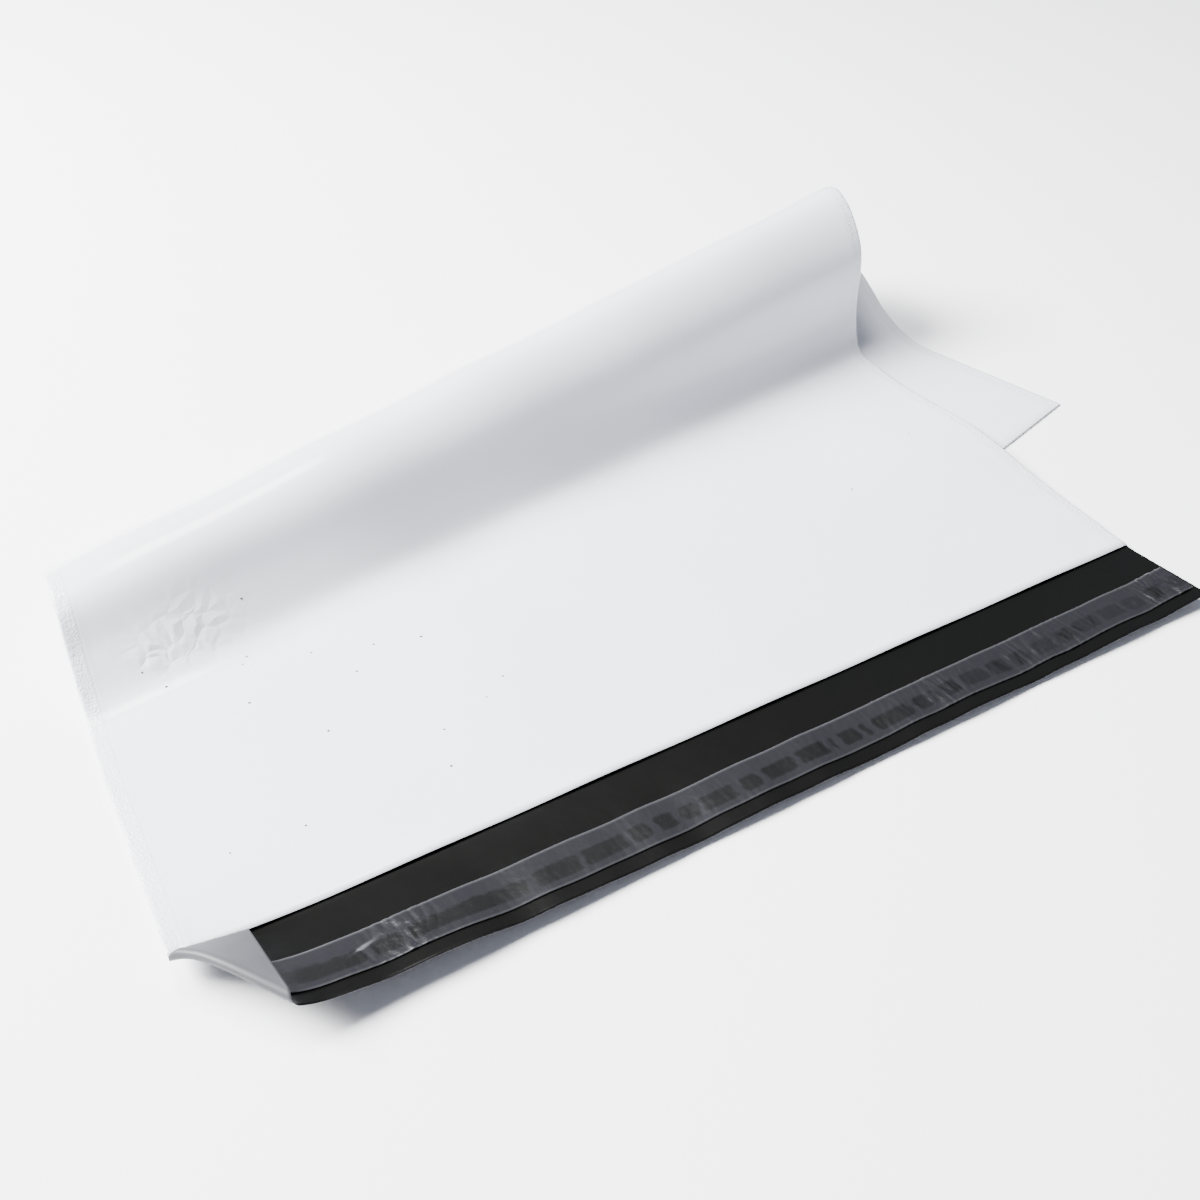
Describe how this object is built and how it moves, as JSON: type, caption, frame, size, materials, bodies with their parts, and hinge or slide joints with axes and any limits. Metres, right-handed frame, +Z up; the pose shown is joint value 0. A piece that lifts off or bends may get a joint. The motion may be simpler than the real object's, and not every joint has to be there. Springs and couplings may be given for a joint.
{
  "type": "poly mailer bag",
  "caption": "White film mailer bag folded in half with a loose loop at the back, a dark flap with an adhesive strip under its liner, and one flap corner turned over.",
  "frame": {"origin": "centre of the bounding box's footprint, on the surface the bag lies on", "axes": "+X along the mouth to the bag's right, -Y from the fold to the flap, +Z up"},
  "size_m": [0.5528, 0.3584, 0.0884],
  "materials": {
    "white_film": "satin",
    "adhesive": "tacky, matt",
    "liner_film": "glossy"
  },
  "bodies": {
    "root": {"film_bag": "white_film", "adhesive_strip": "adhesive", "release_liner": "liner_film"}
  },
  "joints": []
}
